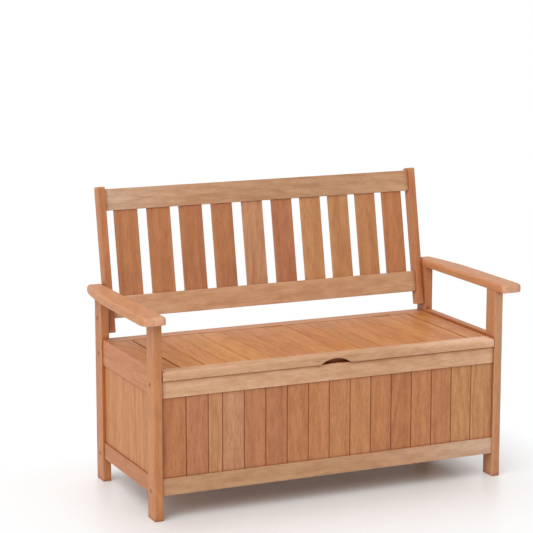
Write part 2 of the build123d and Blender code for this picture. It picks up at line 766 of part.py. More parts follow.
lid_battens = (
    ("lid_middle_batten", middle_batten_y, middle_batten_width),
    ("lid_rear_batten", rear_batten_y, rear_batten_width),
)
for name, batten_y, width in lid_battens:
    with BuildPart() as lid_batten:
        block(
            (-lid_stile_inner, lid_stile_inner),
            (batten_y - width / 2, batten_y + width / 2),
            (lid_bottom, seat_top - lid_board_thickness),
        )
        fillet(lid_batten.faces().sort_by(Axis.Z)[0].edges().filter_by(Axis.X), edge_round)
        screw_holes(batten_screws, batten_screw_length)
        screw_holes(lid_leaf_screws, hinge_screw_length)
    keep(lid_batten, name)

# Gas struts: the cylinder hangs from the lid, the rod reaches down to the box side
socket_out = socket_width / 2
for side_name, side in sides:
    along = (0, box_pivot_y - lid_pivot_y, box_pivot_height - lid_pivot_z)
    strut = Plane(origin=(side * strut_x, lid_pivot_y, lid_pivot_z), x_dir=(1, 0, 0), z_dir=along)
    rise = (Align.CENTER, Align.CENTER, Align.MIN)
    with BuildPart(strut) as strut_cylinder:
        with Locations((0, 0, tube_start)):
            Cylinder(strut_radius, tube_end - tube_start, align=rise)
        chamfer(strut_cylinder.edges().filter_by(GeomType.CIRCLE), strut_edge)
        with Locations((0, 0, tube_start + strut_end_wall)):
            Cylinder(
                chamber_radius,
                tube_end - tube_start - strut_end_wall - strut_guide,
                align=rise,
                mode=Mode.SUBTRACT,
            )
        with Locations((0, 0, tube_end)):
            Cylinder(rod_radius + pin_clearance, 2 * strut_guide + strut_edge, mode=Mode.SUBTRACT)
        Cylinder(socket_neck_radius, tube_start + strut_edge, align=rise)
        Cylinder(socket_radius, socket_width, rotation=(0, 90, 0))
        with Locations((side * (socket_out - (stud_depth + stud_clearance) / 2), 0, 0)):
            Cylinder(
                stud_radius + pin_clearance,
                stud_depth + stud_clearance,
                rotation=(0, 90, 0),
                mode=Mode.SUBTRACT,
            )
    keep(strut_cylinder, f"strut_cylinder_{side_name}")
    with BuildPart(strut) as strut_rod:
        with Locations((0, 0, piston_foot - piston_height)):
            Cylinder(chamber_radius - piston_clearance, piston_height, align=rise)
            Cylinder(rod_radius, closed_length - tube_start - piston_foot + piston_height, align=rise)
    keep(strut_rod, f"strut_rod_{side_name}")
    with BuildPart(strut) as strut_socket:
        with Locations((0, 0, closed_length)):
            Cylinder(socket_radius, socket_width, rotation=(0, 90, 0))
        chamfer(strut_socket.edges().filter_by(GeomType.CIRCLE), strut_edge)
        with Locations((0, 0, closed_length)):
            Cylinder(socket_neck_radius, tube_start, align=(Align.CENTER, Align.CENTER, Align.MAX))
    keep(strut_socket, f"strut_socket_{side_name}")

# Strut brackets: an angle under each lid stile, a plate with a stud on each side panel
with BuildPart() as lid_brackets:
    for side_name, side in sides:
        ear_inner = strut_x + socket_out + ear_gap
        plate_y = (lid_pivot_y - bracket_length / 2, lid_pivot_y + bracket_length / 2)
        ear_x = (side * ear_inner, side * (ear_inner + bracket_plate))
        block(
            (side * bracket_inner_x, side * (ear_inner + bracket_plate)),
            plate_y,
            (lid_bottom - bracket_plate, lid_bottom),
        )
        block(ear_x, (lid_pivot_y - ear_radius, lid_pivot_y + ear_radius), (lid_pivot_z, lid_bottom))
        with Locations((side * (ear_inner + bracket_plate / 2), lid_pivot_y, lid_pivot_z)):
            Cylinder(ear_radius, bracket_plate, rotation=(0, 90, 0))
        with Locations((side * (ear_inner - (ear_gap + stud_depth) / 2), lid_pivot_y, lid_pivot_z)):
            Cylinder(stud_radius, ear_gap + stud_depth, rotation=(0, 90, 0))
        collar = ear_gap - stud_side_gap
        with Locations((side * (ear_inner - collar / 2), lid_pivot_y, lid_pivot_z)):
            Cylinder(stud_collar_radius, collar, rotation=(0, 90, 0))
    screw_holes(lid_bracket_screws, short_screw_length)
keep(lid_brackets, "strut_lid_brackets")

with BuildPart() as box_brackets:
    for side_name, side in sides:
        plate_inner = panel_inner_x - bracket_plate
        stud_end = strut_x + socket_out + stud_side_gap
        block(
            (side * plate_inner, side * panel_inner_x),
            (box_pivot_y - bracket_length / 2, box_pivot_y + bracket_length / 2),
            (box_pivot_height - bracket_height / 2, box_pivot_height + bracket_height / 2),
        )
        with Locations((side * (plate_inner + stud_end) / 2, box_pivot_y, box_pivot_height)):
            Cylinder(stud_radius, plate_inner - stud_end, rotation=(0, 90, 0))
        with Locations((side * (plate_inner - ear_gap / 2), box_pivot_y, box_pivot_height)):
            Cylinder(stud_collar_radius, ear_gap, rotation=(0, 90, 0))
    screw_holes(box_bracket_screws, short_screw_length)
keep(box_brackets, "strut_box_brackets")

# Fasteners, each kind as a group of separate solids
with BuildPart() as bolts:
    seats = [place.offset(-bolt_sink) for place in wall_bolts + back_bolts]
    drill(seats, bolt_radius, post_thickness - bolt_sink + bolt_grip, Mode.ADD)
    with Locations(*seats):
        Cylinder(bolt_head_radius, bolt_head_height, align=(Align.CENTER, Align.CENTER, Align.MIN))
    sockets = [seat.offset(bolt_head_height) for seat in seats]
    with BuildSketch(*sockets):
        RegularPolygon(bolt_socket_radius, 6)
    extrude(amount=-bolt_socket_depth, mode=Mode.SUBTRACT)
keep(bolts, "frame_bolts")

with BuildPart() as nuts:
    drill(wall_nuts + back_nuts, nut_radius, nut_length, Mode.ADD)
    drill(wall_bolts + back_bolts, bolt_radius + thread_clearance, post_thickness + bolt_grip + nut_radius)
keep(nuts, "barrel_nuts")

with BuildPart() as dowel_set:
    dowels(side_dowels + arm_dowels + back_dowels + hinge_rail_places)
keep(dowel_set, "dowels")

with BuildPart() as frame_screws:
    screws(rail_leaf_screws, hinge_screw_length)
    screws(box_bracket_screws, short_screw_length)
    screws(corner_screws + strip_screws, corner_screw_length)
    screws(cleat_screws, cleat_screw_length)
    screws(floor_screws, batten_screw_length)
keep(frame_screws, "frame_screws")

with BuildPart() as lid_screws:
    screws(lid_leaf_screws, hinge_screw_length)
    screws(lid_bracket_screws, short_screw_length)
    screws(batten_screws, batten_screw_length)
keep(lid_screws, "lid_screws")
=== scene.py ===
"""Looks of the patio storage bench: oiled hardwood, plated fittings, black struts and a plain studio."""
import json
import logging
import math
from dataclasses import dataclass, replace
from enum import Enum
from typing import NamedTuple, Optional, Union

import bpy
import numpy as np
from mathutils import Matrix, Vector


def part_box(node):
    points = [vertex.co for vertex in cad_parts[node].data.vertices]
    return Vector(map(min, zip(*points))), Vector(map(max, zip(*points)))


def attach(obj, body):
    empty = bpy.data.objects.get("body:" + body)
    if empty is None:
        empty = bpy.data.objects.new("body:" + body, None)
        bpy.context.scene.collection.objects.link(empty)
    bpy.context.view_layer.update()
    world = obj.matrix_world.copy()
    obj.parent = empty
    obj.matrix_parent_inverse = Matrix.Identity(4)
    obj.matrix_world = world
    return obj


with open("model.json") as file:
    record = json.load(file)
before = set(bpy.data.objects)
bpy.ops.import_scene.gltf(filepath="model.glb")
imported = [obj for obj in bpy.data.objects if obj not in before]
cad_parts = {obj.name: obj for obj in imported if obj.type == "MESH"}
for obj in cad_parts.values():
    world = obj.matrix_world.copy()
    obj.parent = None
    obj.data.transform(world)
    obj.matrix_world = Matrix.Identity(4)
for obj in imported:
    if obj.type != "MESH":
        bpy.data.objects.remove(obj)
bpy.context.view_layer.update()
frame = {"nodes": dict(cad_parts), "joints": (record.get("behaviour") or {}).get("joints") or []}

LOG = logging.getLogger("bench")
Colour = tuple[float, float, float]
Socket = bpy.types.NodeSocket
Feed = Union[Socket, float, tuple]
NOISE_MIDDLE = 0.5
TINY = 1e-6


class Grain(Enum):
    """Which way the fibres of a timber run."""

    ALONG_X = "x"
    ALONG_Y = "y"
    ALONG_Z = "z"
    UP_LEAN = "lean"


class Tone(Enum):
    """How the colour of one board departs from its finish, as a factor on red, green and blue."""

    PLAIN = (1.0, 1.0, 1.0)
    ORANGE = (1.00, 0.95, 0.88)
    RUSSET = (0.94, 0.90, 0.84)
    ROSE = (0.97, 0.95, 1.07)
    BROWN = (0.95, 0.94, 0.97)
    BLUSH = (1.09, 1.28, 1.56)
    PALE = (1.10, 1.26, 1.27)
    STRAW = (1.07, 1.25, 1.28)
    HONEY = (1.06, 1.15, 1.13)
    AMBER = (1.03, 1.05, 1.03)
    DUSKY = (0.87, 0.85, 0.79)
    FAIR = (1.06, 1.05, 1.04)
    TAN = (1.06, 1.27, 1.56)
    SHELL = (1.20, 1.46, 2.00)
    CREAM = (1.20, 1.27, 1.38)
    CHALKY = (1.36, 1.48, 1.74)
    UMBER = (0.89, 0.89, 0.89)


@dataclass(frozen=True)
class BoardRow:
    """Boards side by side in one node, told apart by their place across the row, in metres."""

    start: float
    pitch: float
    tones: tuple[Tone, ...]
    figures: tuple[float, ...]
    narrow: Optional[int] = None
    narrow_pitch: float = 0.0
    groove: float = 0.0024
    groove_share: float = 0.8

    @classmethod
    def over(
        cls, node: str, gap: float, tones: tuple[Tone, ...], figures: tuple[float, ...], *,
        end_extra: float = 0.0, narrow: Optional[int] = None, narrow_pitch: float = 0.0,
        groove_share: float = 0.8,
    ) -> "BoardRow":
        """Divide the width of a node into its boards.

        Args:
            node: the node that holds the row.
            gap: the gap between boards.
            tones: one tone per board.
            figures: one strength of figure per board.
            end_extra: how much wider the board at each end is.
            narrow: which board is narrower, if one is.
            narrow_pitch: that board's width with its gap.
            groove_share: how dark the grooves are.

        Returns:
            The row.
        """
        low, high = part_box(node)
        start = low[0] - gap / 2.0 + end_extra
        run = high[0] - low[0] + gap - 2.0 * end_extra - narrow_pitch
        equal = len(tones) if narrow is None else len(tones) - 1
        return cls(start, run / equal, tones, figures, narrow, narrow_pitch, groove_share=groove_share)


class Waves(NamedTuple):
    """One smooth noise: its waves per metre on each axis, its octaves and the weight of the finer ones."""

    stretch: tuple[float, float, float]
    detail: float = 2.0
    roughness: float = 0.5


class BoardSpot(NamedTuple):
    """Where a point lies in a row: its board, its place across that board, and what the board looks like."""

    number: Socket
    across: Socket
    tint: Socket
    figure: Socket
    groove: Socket


class Graph:
    """Adds nodes to one shader tree and wires them."""

    MIX_COLOURS = (6, 7)  # where a Mix node has its two colours
    MIX_RESULT = 2  # and the mixed one

    def __init__(self, tree: bpy.types.NodeTree) -> None:
        """Keep the tree that the nodes go into."""
        self.tree = tree

    def node(self, kind: str, **settings: object) -> bpy.types.Node:
        """Add one node.

        Args:
            kind: the node's class name.
            settings: properties to set on it.

        Returns:
            The new node.
        """
        made = self.tree.nodes.new(kind)
        for key, value in settings.items():
            setattr(made, key, value)
        return made

    def feed(self, socket: Socket, value: Feed) -> None:
        """Link an output into an input, or set the input to a plain value.

        Args:
            socket: the input.
            value: the output, or the value.
        """
        if isinstance(value, bpy.types.NodeSocket):
            self.tree.links.new(value, socket)
        else:
            socket.default_value = value

    def math(self, operation: str, *values: Feed, clamp: bool = False) -> Socket:
        """One step of arithmetic on single numbers.

        Args:
            operation: the Math node's operation.
            values: its inputs in order.
            clamp: keep the result between 0 and 1.

        Returns:
            The result.
        """
        made = self.node("ShaderNodeMath", operation=operation, use_clamp=clamp)
        for socket, value in zip(made.inputs, values):
            self.feed(socket, value)
        return made.outputs[0]

    def vector(self, operation: str, *values: Feed) -> Socket:
        """One step of arithmetic on vectors.

        Args:
            operation: the Vector Math node's operation.
            values: its inputs in order.

        Returns:
            The result, a number for LENGTH and DOT_PRODUCT and a vector otherwise.
        """
        made = self.node("ShaderNodeVectorMath", operation=operation)
        for socket, value in zip(made.inputs, values):
            self.feed(socket, value)
        single = operation in ("LENGTH", "DOT_PRODUCT")
        return made.outputs["Value" if single else "Vector"]

    def split(self, value: Socket) -> tuple[Socket, Socket, Socket]:
        """Take a vector apart.

        Args:
            value: the vector.

        Returns:
            Its three numbers.
        """
        made = self.node("ShaderNodeSeparateXYZ")
        self.feed(made.inputs[0], value)
        return made.outputs[0], made.outputs[1], made.outputs[2]

    def join(self, x: Feed, y: Feed, z: Feed) -> Socket:
        """Make a vector of three numbers.

        Args:
            x: the first.
            y: the second.
            z: the third.

        Returns:
            The vector.
        """
        made = self.node("ShaderNodeCombineXYZ")
        for socket, value in zip(made.inputs, (x, y, z)):
            self.feed(socket, value)
        return made.outputs[0]

    def past(self, value: Feed, limit: Feed) -> Socket:
        """How far a number lies past a limit, and 0 before it."""
        return self.math("MAXIMUM", self.math("SUBTRACT", value, limit), 0.0)

    def noise(self, place: Socket, waves: Waves) -> bpy.types.Node:
        """Smooth noise from 0 to 1.

        Args:
            place: where it is read.
            waves: how fine it is.

        Returns:
            The node: its first output is a number and its second a colour.
        """
        made = self.node("ShaderNodeTexNoise")
        self.feed(made.inputs["Vector"], self.vector("MULTIPLY", place, waves.stretch))
        self.feed(made.inputs["Scale"], 1.0)
        self.feed(made.inputs["Detail"], waves.detail)
        self.feed(made.inputs["Roughness"], waves.roughness)
        return made

    def level(self, place: Socket, waves: Waves) -> Socket:
        """Smooth noise as one number."""
        return self.noise(place, waves).outputs[0]

    def chance(self, seed: Feed) -> bpy.types.Node:
        """White noise of one number.

        Args:
            seed: the number.

        Returns:
            The node, with a random value and a random colour.
        """
        made = self.node("ShaderNodeTexWhiteNoise", noise_dimensions="1D")
        self.feed(made.inputs["W"], seed)
        return made

    def ramp(self, factor: Feed, stops: tuple, steps: bool = False) -> tuple[Socket, Socket]:
        """A colour ramp.

        Args:
            factor: where it is read, 0 to 1.
            stops: triples of position, colour or grey, and alpha, in rising order.
            steps: hold each colour up to the next stop.

        Returns:
            The colour and the alpha.
        """
        made = self.node("ShaderNodeValToRGB")
        made.color_ramp.interpolation = "CONSTANT" if steps else "LINEAR"
        elements = made.color_ramp.elements
        elements.remove(elements[1])
        elements[0].position = stops[0][0]
        for position, _, _ in stops[1:]:
            elements.new(position)
        for element, (_, shade, alpha) in zip(elements, stops):
            rgb = shade if isinstance(shade, tuple) else (shade, shade, shade)
            element.color = (*rgb, alpha)
        self.feed(made.inputs[0], factor)
        return made.outputs[0], made.outputs[1]

    def curve(self, factor: Feed, *points: tuple[float, float]) -> Socket:
        """A number read off a broken line.

        Args:
            factor: where it is read, 0 to 1.
            points: pairs of position and value, in rising order.

        Returns:
            The value.
        """
        return self.ramp(factor, tuple((at, value, 1.0) for at, value in points))[0]

    def mix(self, factor: Feed, first: Feed, second: Feed, blend: str = "MIX") -> Socket:
        """Mix two colours.

        Args:
            factor: share of the second.
            first: a colour output, or red, green and blue.
            second: the same.
            blend: how they mix.

        Returns:
            The mixed colour.
        """
        made = self.node("ShaderNodeMix", data_type="RGBA", blend_type=blend)
        self.feed(made.inputs[0], factor)
        for number, value in zip(self.MIX_COLOURS, (first, second)):
            self.feed(made.inputs[number], (*value, 1.0) if isinstance(value, tuple) else value)
        return made.outputs[self.MIX_RESULT]

    def bump(self, height: Socket, distance: float, strength: float) -> Socket:
        """A surface normal from a height.

        Args:
            height: the height, 0 to 1.
            distance: metres that a height of 1 stands for.
            strength: how much of it shows.

        Returns:
            The normal.
        """
        made = self.node("ShaderNodeBump")
        self.feed(made.inputs["Strength"], strength)
        self.feed(made.inputs["Distance"], distance)
        self.feed(made.inputs["Height"], height)
        return made.outputs[0]


def new_material(name: str) -> tuple[bpy.types.Material, Graph, bpy.types.Node, Socket]:
    """An empty material with its shader and object coordinates.

    Args:
        name: the material's name.

    Returns:
        The material, its graph, its Principled shader and the object coordinates.
    """
    material = bpy.data.materials.new(name)
    material.use_nodes = True
    graph = Graph(material.node_tree)
    shader = material.node_tree.nodes["Principled BSDF"]
    place = graph.node("ShaderNodeTexCoord").outputs["Object"]
    return material, graph, shader, place


class TimberFigure:
    """The figure of sawn hardwood, as one node group that every wood finish shares.

    Place is (across, depth, along) in metres from the board's middle. The seed sets a pith beside the board.
    Rings are the fractional part of the distance to that tilted pith times rings per metre, bent by slow
    noise, so flat faces show arches and edges show lines. Streaks, clouds, flecks, fibres and pores are
    noises drawn out along the grain.
    """

    NAME = "timber_figure"
    OUTPUTS = ("Figure", "Streak", "Cloud", "Fleck", "Fibre", "Pore", "Luck")
    PITH_SPREAD = (0.18, 0.08, 3.0)
    PITH_SHIFT = (-0.09, 0.02, 0.0)
    TAPER_ACROSS = 0.10
    TAPER_DEPTH = 0.13
    SWAY = Waves((7.0, 7.0, 3.0))
    SWAY_REACH = (0.024, 0.024, 0.0)
    RIPPLE = Waves((34.0, 34.0, 5.0))
    STREAK = Waves((42.0, 42.0, 1.3), 3.0, 0.55)
    CLOUD = Waves((46.0, 46.0, 15.0), 3.0, 0.6)
    FLECK = Waves((230.0, 230.0, 55.0), 2.0, 0.6)
    FIBRE = Waves((430.0, 430.0, 9.0), 2.0, 0.6)
    PORE = Waves((760.0, 760.0, 24.0), 1.0)
    RING_CURVE = ((0.0, 0.30), (0.12, 0.0), (0.5, 0.18), (0.86, 1.0), (1.0, 0.30))
    PORE_CURVE = ((0.58, 0.0), (0.72, 1.0))
    LUCK_SHIFT = 0.37

    def build(self) -> bpy.types.NodeTree:
        """Make the group.

        Returns:
            The node group.
        """
        tree = bpy.data.node_groups.new(self.NAME, "ShaderNodeTree")
        tree.interface.new_socket(name="Place", in_out="INPUT", socket_type="NodeSocketVector")
        tree.interface.new_socket(name="Seed", in_out="INPUT", socket_type="NodeSocketFloat")
        tree.interface.new_socket(name="Rings", in_out="INPUT", socket_type="NodeSocketFloat")
        for name in self.OUTPUTS:
            tree.interface.new_socket(name=name, in_out="OUTPUT", socket_type="NodeSocketFloat")
        graph = Graph(tree)
        source = graph.node("NodeGroupInput")
        place, seed, rings = source.outputs[0], source.outputs[1], source.outputs[2]
        luck = graph.chance(seed)
        shift = graph.vector("MULTIPLY_ADD", luck.outputs["Color"], self.PITH_SPREAD, self.PITH_SHIFT)
        spot = graph.vector("ADD", place, shift)
        wander = graph.noise(spot, self.SWAY).outputs["Color"]
        sway = graph.vector("SUBTRACT", wander, (NOISE_MIDDLE, NOISE_MIDDLE, NOISE_MIDDLE))
        bent = graph.vector("MULTIPLY_ADD", sway, self.SWAY_REACH, spot)
        across, depth, _ = graph.split(bent)
        run = graph.split(place)[2]
        turn = graph.math("SUBTRACT", luck.outputs["Value"], NOISE_MIDDLE)
        lean = graph.math("MULTIPLY", turn, self.TAPER_ACROSS)
        from_pith_x = graph.math("MULTIPLY_ADD", run, lean, across)
        from_pith_y = graph.math("MULTIPLY_ADD", run, self.TAPER_DEPTH, depth)
        radius = graph.vector("LENGTH", graph.join(from_pith_x, from_pith_y, 0.0))
        phase = graph.math("MULTIPLY_ADD", radius, rings, graph.level(bent, self.RIPPLE))
        figure = graph.curve(graph.math("FRACT", phase), *self.RING_CURVE)
        noises = [graph.level(bent, waves) for waves in (self.STREAK, self.CLOUD, self.FLECK, self.FIBRE)]
        pore = graph.curve(graph.level(bent, self.PORE), *self.PORE_CURVE)
        chance = graph.chance(graph.math("ADD", seed, self.LUCK_SHIFT)).outputs["Value"]
        target = graph.node("NodeGroupOutput")
        for socket, value in zip(target.inputs, (figure, *noises, pore, chance)):
            graph.feed(socket, value)
        return tree


@dataclass(frozen=True)
class WoodFinish:
    """An oiled hardwood between a light and a dark colour."""

    name: str
    light: Colour
    dark: Colour
    rings: float = 52.0
    figure: float = 0.20
    streak: float = 1.5
    cloud: float = 1.5
    fleck: float = 1.0
    fibre: float = 1.1
    pore: float = 0.42
    # share of the painted shade in corners and recesses between pieces
    corner_shade_share: float = 1.2
    roughness: float = 0.47
    # edges paled partly as rubbed wear and partly as a painted highlight
    rubbed_and_highlit_edges: bool = True

    LEAN = math.radians(10.5)
    MIDDLE_SHADE = 0.45
    RING_MIDDLE = 0.36
    LUCK_SHADE = 0.14
    PORE_SHADE = (0.62, 0.50, 0.42)
    GROOVE_SHADE = (0.56, 0.25, 0.08)
    # colour of the painted shade in corners and recesses, and how far it reaches
    CORNER_SHADE_COLOUR = (0.54, 0.27, 0.11)
    CORNER_SHADE_REACH = 0.015
    SHEEN = 0.3
    FIBRE_ROUGHNESS = 0.18
    PORE_ROUGHNESS = 0.10
    PORE_DEPTH = 0.8
    RELIEF = 0.00022
    RELIEF_SHARE = 0.35
    SAMPLES = 6
    EDGE_REACH = 0.0035
    EDGE_SHARE = 1.5
    EDGE_WEAR_HIGHLIGHT = 1.12
    END_LIGHT_REACH = 0.012

    def place(self, graph: Graph, where: Socket, grain: Grain, centre: tuple) -> Socket:
        """Turn object coordinates into (across, depth, along).

        Args:
            graph: the material's graph.
            where: object coordinates.
            grain: which way the fibres run.
            centre: the point that becomes zero, in metres.

        Returns:
            The turned coordinates.
        """
        where = graph.vector("SUBTRACT", where, centre)
        if grain is Grain.UP_LEAN:
            turned = graph.node("ShaderNodeMapping")
            graph.feed(turned.inputs["Vector"], where)
            turned.inputs["Rotation"].default_value = (self.LEAN, 0.0, 0.0)
            return turned.outputs[0]
        x, y, z = graph.split(where)
        if grain is Grain.ALONG_X:
            return graph.join(z, y, x)
        if grain is Grain.ALONG_Y:
            return graph.join(x, z, y)
        return graph.join(x, y, z)

    def row(self, graph: Graph, across: Socket, row: BoardRow) -> BoardSpot:
        """Number the boards of a row.

        The number is the whole part of the distance along the row over the pitch, held within the row, so
        that a wider end board counts as one. Past a narrow board the distance is first made up by what that
        board lacks.

        Args:
            graph: the material's graph.
            across: the place across the row.
            row: how the row is divided.

        Returns:
            The board's number, the place across it, its tint and figure, and how far the point is inside a
            groove, 0 to 1.
        """
        count = len(row.tones)
        reach = graph.math("SUBTRACT", across, row.start)
        groove_at = None
        if row.narrow is not None:
            narrow_end = row.narrow * row.pitch + row.narrow_pitch
            past = graph.math("GREATER_THAN", reach, narrow_end)
            groove_at = graph.math("ABSOLUTE", graph.math("SUBTRACT", reach, narrow_end))
            reach = graph.math("MULTIPLY_ADD", past, row.pitch - row.narrow_pitch, reach)
        boards = graph.math("DIVIDE", reach, row.pitch)
        held = graph.math("MINIMUM", graph.math("MAXIMUM", boards, 0.5), count - 0.5)
        number = graph.math("FLOOR", held)
        stops = tuple((n / count, tone.value, row.figures[n]) for n, tone in enumerate(row.tones))
        middle = graph.math("DIVIDE", graph.math("ADD", number, 0.5), float(count))
        tint, figure = graph.ramp(middle, stops, steps=True)
        inside = graph.math("FRACT", held)
        to_edge = graph.math("MINIMUM", inside, graph.math("SUBTRACT", 1.0, inside))
        to_edge = graph.math("MULTIPLY", to_edge, row.pitch)
        if groove_at is not None:
            to_edge = graph.math("MINIMUM", to_edge, groove_at)
        groove = graph.math("SUBTRACT", 1.0, graph.math("DIVIDE", to_edge, row.groove), clamp=True)
        local = graph.math("SUBTRACT", graph.math("SUBTRACT", boards, number), 0.5)
        return BoardSpot(number, graph.math("MULTIPLY", local, row.pitch), tint, figure, groove)

    def build(self, timber: "Timber") -> bpy.types.Material:
        """Make the material of one timber or row of boards.

        Args:
            timber: what wears it.

        Returns:
            The material.
        """
        material, graph, shader, where = new_material(f"{self.name}_{timber.node}")
        place = self.place(graph, where, timber.grain, timber.centre())
        strength: Feed = self.figure * timber.figure
        seed: Feed = timber.seed
        spot = None
        if timber.row is not None:
            across, depth, along = graph.split(place)
            spot = self.row(graph, across, timber.row)
            place = graph.join(spot.across, depth, along)
            seed = graph.math("ADD", spot.number, timber.seed)
            strength = graph.math("MULTIPLY", spot.figure, self.figure)
        figure = graph.node("ShaderNodeGroup", node_tree=bpy.data.node_groups[TimberFigure.NAME])
        for name, value in (("Place", place), ("Seed", seed), ("Rings", self.rings)):
            graph.feed(figure.inputs[name], value)
        fibre, pore = figure.outputs["Fibre"], figure.outputs["Pore"]
        bare = self.figured(graph, figure, strength, timber)
        graph.feed(shader.inputs["Base Color"], self.stained(graph, bare, pore, place, spot, timber))
        shader.inputs["Specular IOR Level"].default_value = self.SHEEN
        smoothest = self.roughness - self.FIBRE_ROUGHNESS / 2.0
        rough = graph.math("MULTIPLY_ADD", fibre, self.FIBRE_ROUGHNESS, smoothest)
        graph.feed(shader.inputs["Roughness"], graph.math("MULTIPLY_ADD", pore, self.PORE_ROUGHNESS, rough))
        relief = graph.math("MULTIPLY_ADD", pore, -self.PORE_DEPTH, fibre)
        graph.feed(shader.inputs["Normal"], graph.bump(relief, self.RELIEF, self.RELIEF_SHARE))
        return material

    def figured(self, graph: Graph, figure: bpy.types.Node, strength: Feed, timber: "Timber") -> Socket:
        """The colour of the bare figure, between the timber's light and dark.

        The shade is a middle value plus each part of the figure, less its own mean, times its share.

        Args:
            graph: the material's graph.
            figure: the node of the figure.
            strength: share of the rings.
            timber: what is dressed.

        Returns:
            The colour.
        """
        shade: Feed = self.MIDDLE_SHADE
        parts = (
            ("Figure", self.RING_MIDDLE, strength),
            ("Streak", NOISE_MIDDLE, self.streak),
            ("Cloud", NOISE_MIDDLE, self.cloud),
            ("Fleck", NOISE_MIDDLE, self.fleck),
            ("Fibre", NOISE_MIDDLE, self.fibre),
            ("Luck", NOISE_MIDDLE, self.LUCK_SHADE),
        )
        for name, middle, share in parts:
            away = graph.math("SUBTRACT", figure.outputs[name], middle)
            shade = graph.math("MULTIPLY_ADD", away, share, shade)
        shade = graph.math("ADD", shade, 0.0, clamp=True)
        return graph.mix(shade, timber.toned(self.light), timber.toned(self.dark))

    def stained(
        self, graph: Graph, bare: Socket, pore: Socket, place: Socket,
        spot: Optional[BoardSpot], timber: "Timber",
    ) -> Socket:
        """The bare colour with tones, pores, grooves, worn edges, ends and corners laid over it, some as
        painted light and shade.

        Args:
            graph: the material's graph.
            bare: the colour of the figure.
            pore: how far a point is in a pore.
            place: across, depth and along.
            spot: the point's board, where the timber is a row.
            timber: what is dressed.

        Returns:
            The colour.
        """
        colour = bare
        if spot is not None:
            colour = graph.mix(1.0, colour, spot.tint, "MULTIPLY")
        colour = graph.mix(graph.math("MULTIPLY", pore, self.pore), colour, self.PORE_SHADE, "MULTIPLY")
        if spot is not None:
            # grooves darkened: partly the dark joint between boards, partly painted shade inside the groove
            dark_line = graph.math("MULTIPLY", spot.groove, timber.row.groove_share)
            colour = graph.mix(dark_line, colour, self.GROOVE_SHADE, "MULTIPLY")
        elif self.rubbed_and_highlit_edges:
            # paler edges: partly rubbed wear, partly a painted highlight along the rounding
            pale = tuple(self.EDGE_WEAR_HIGHLIGHT * c for c in timber.toned(self.light))
            colour = graph.mix(self.rubbed_edge_and_highlight(graph), colour, pale)
        if timber.run:
            colour = graph.mix(1.0, colour, self.drift(graph, place, timber), "MULTIPLY")
        if timber.end_light_tone is not None:
            # paler ends: painted light on the end faces
            colour = graph.mix(self.ends(graph, place, timber), colour, timber.end_light_tone.value, "MULTIPLY")
        # painted shade in corners, creases and recesses between pieces
        return graph.mix(self.corner_shade(graph), colour, self.CORNER_SHADE_COLOUR, "MULTIPLY")

    def drift(self, graph: Graph, place: Socket, timber: "Timber") -> Socket:
        """The tint of a timber whose tone changes slowly along its length.

        Args:
            graph: the material's graph.
            place: across, depth and along.
            timber: what is dressed.

        Returns:
            The tint, with the tones of the run evenly spaced from the low end to the high end.
        """
        share = graph.math("MULTIPLY_ADD", graph.split(place)[2], 1.0 / timber.length(), 0.5, clamp=True)
        last = len(timber.run) - 1
        return graph.ramp(share, tuple((n / last, tone.value, 1.0) for n, tone in enumerate(timber.run)))[0]

    def ends(self, graph: Graph, place: Socket, timber: "Timber") -> Socket:
        """How far a point lies on the ends of its timber, which are coloured paler as a painted light on the
        end faces.

        Args:
            graph: the material's graph.
            place: across, depth and along.
            timber: what is dressed.

        Returns:
            0 over the length to 1 at either end.
        """
        out = graph.math("ABSOLUTE", graph.split(place)[2])
        past = graph.math("SUBTRACT", out, timber.length() / 2.0 - self.END_LIGHT_REACH)
        return graph.math("DIVIDE", past, self.END_LIGHT_REACH, clamp=True)

    def rubbed_edge_and_highlight(self, graph: Graph) -> Socket:
        """How far a point is on an edge paled partly as rubbed wear and partly as a painted highlight: where
        a rounded normal turns away from the true one.

        Args:
            graph: the material's graph.

        Returns:
            0 on the flat to 1 on an edge.
        """
        rounded = graph.node("ShaderNodeBevel", samples=self.SAMPLES)
        graph.feed(rounded.inputs["Radius"], self.EDGE_REACH)
        flat = graph.node("ShaderNodeNewGeometry").outputs["Normal"]
        turn = graph.math("SUBTRACT", 1.0, graph.vector("DOT_PRODUCT", rounded.outputs[0], flat))
        return graph.math("MULTIPLY", turn, self.EDGE_SHARE, clamp=True)

    def corner_shade(self, graph: Graph) -> Socket:
        """Painted shade: how far a point lies in a corner, crease or recess between pieces, read from ambient
        occlusion.

        Args:
            graph: the material's graph.

        Returns:
            0 in the open to 1 deep in a corner.
        """
        shut = graph.node("ShaderNodeAmbientOcclusion", samples=self.SAMPLES)
        graph.feed(shut.inputs["Distance"], self.CORNER_SHADE_REACH)
        hidden = graph.math("SUBTRACT", 1.0, shut.outputs["AO"])
        return graph.math("MULTIPLY", hidden, self.corner_shade_share, clamp=True)


@dataclass(frozen=True)
class FittingFinish:
    """A metal, paint or plastic whose gloss and colour vary a little with fine noise."""

    name: str
    light: Colour
    dark: Colour
    rough_low: float
    rough_high: float
    stretch: tuple[float, float, float]
    metallic: float = 1.0
    relief: float = 0.00004

    CLOUD = Waves((90.0, 90.0, 90.0), 3.0)
    SCRATCH_WEIGHT = 0.6
    RELIEF_SHARE = 0.3

    def build(self) -> bpy.types.Material:
        """Make the material.

        Returns:
            The material.
        """
        material, graph, shader, where = new_material(self.name)
        shader.inputs["Metallic"].default_value = self.metallic
        cloud = graph.level(where, self.CLOUD)
        scratch = graph.level(where, Waves(self.stretch, roughness=self.SCRATCH_WEIGHT))
        graph.feed(shader.inputs["Base Color"], graph.mix(cloud, self.dark, self.light))
        span = self.rough_high - self.rough_low
        graph.feed(shader.inputs["Roughness"], graph.math("MULTIPLY_ADD", scratch, span, self.rough_low))
        graph.feed(shader.inputs["Normal"], graph.bump(scratch, self.relief, self.RELIEF_SHARE))
        return material


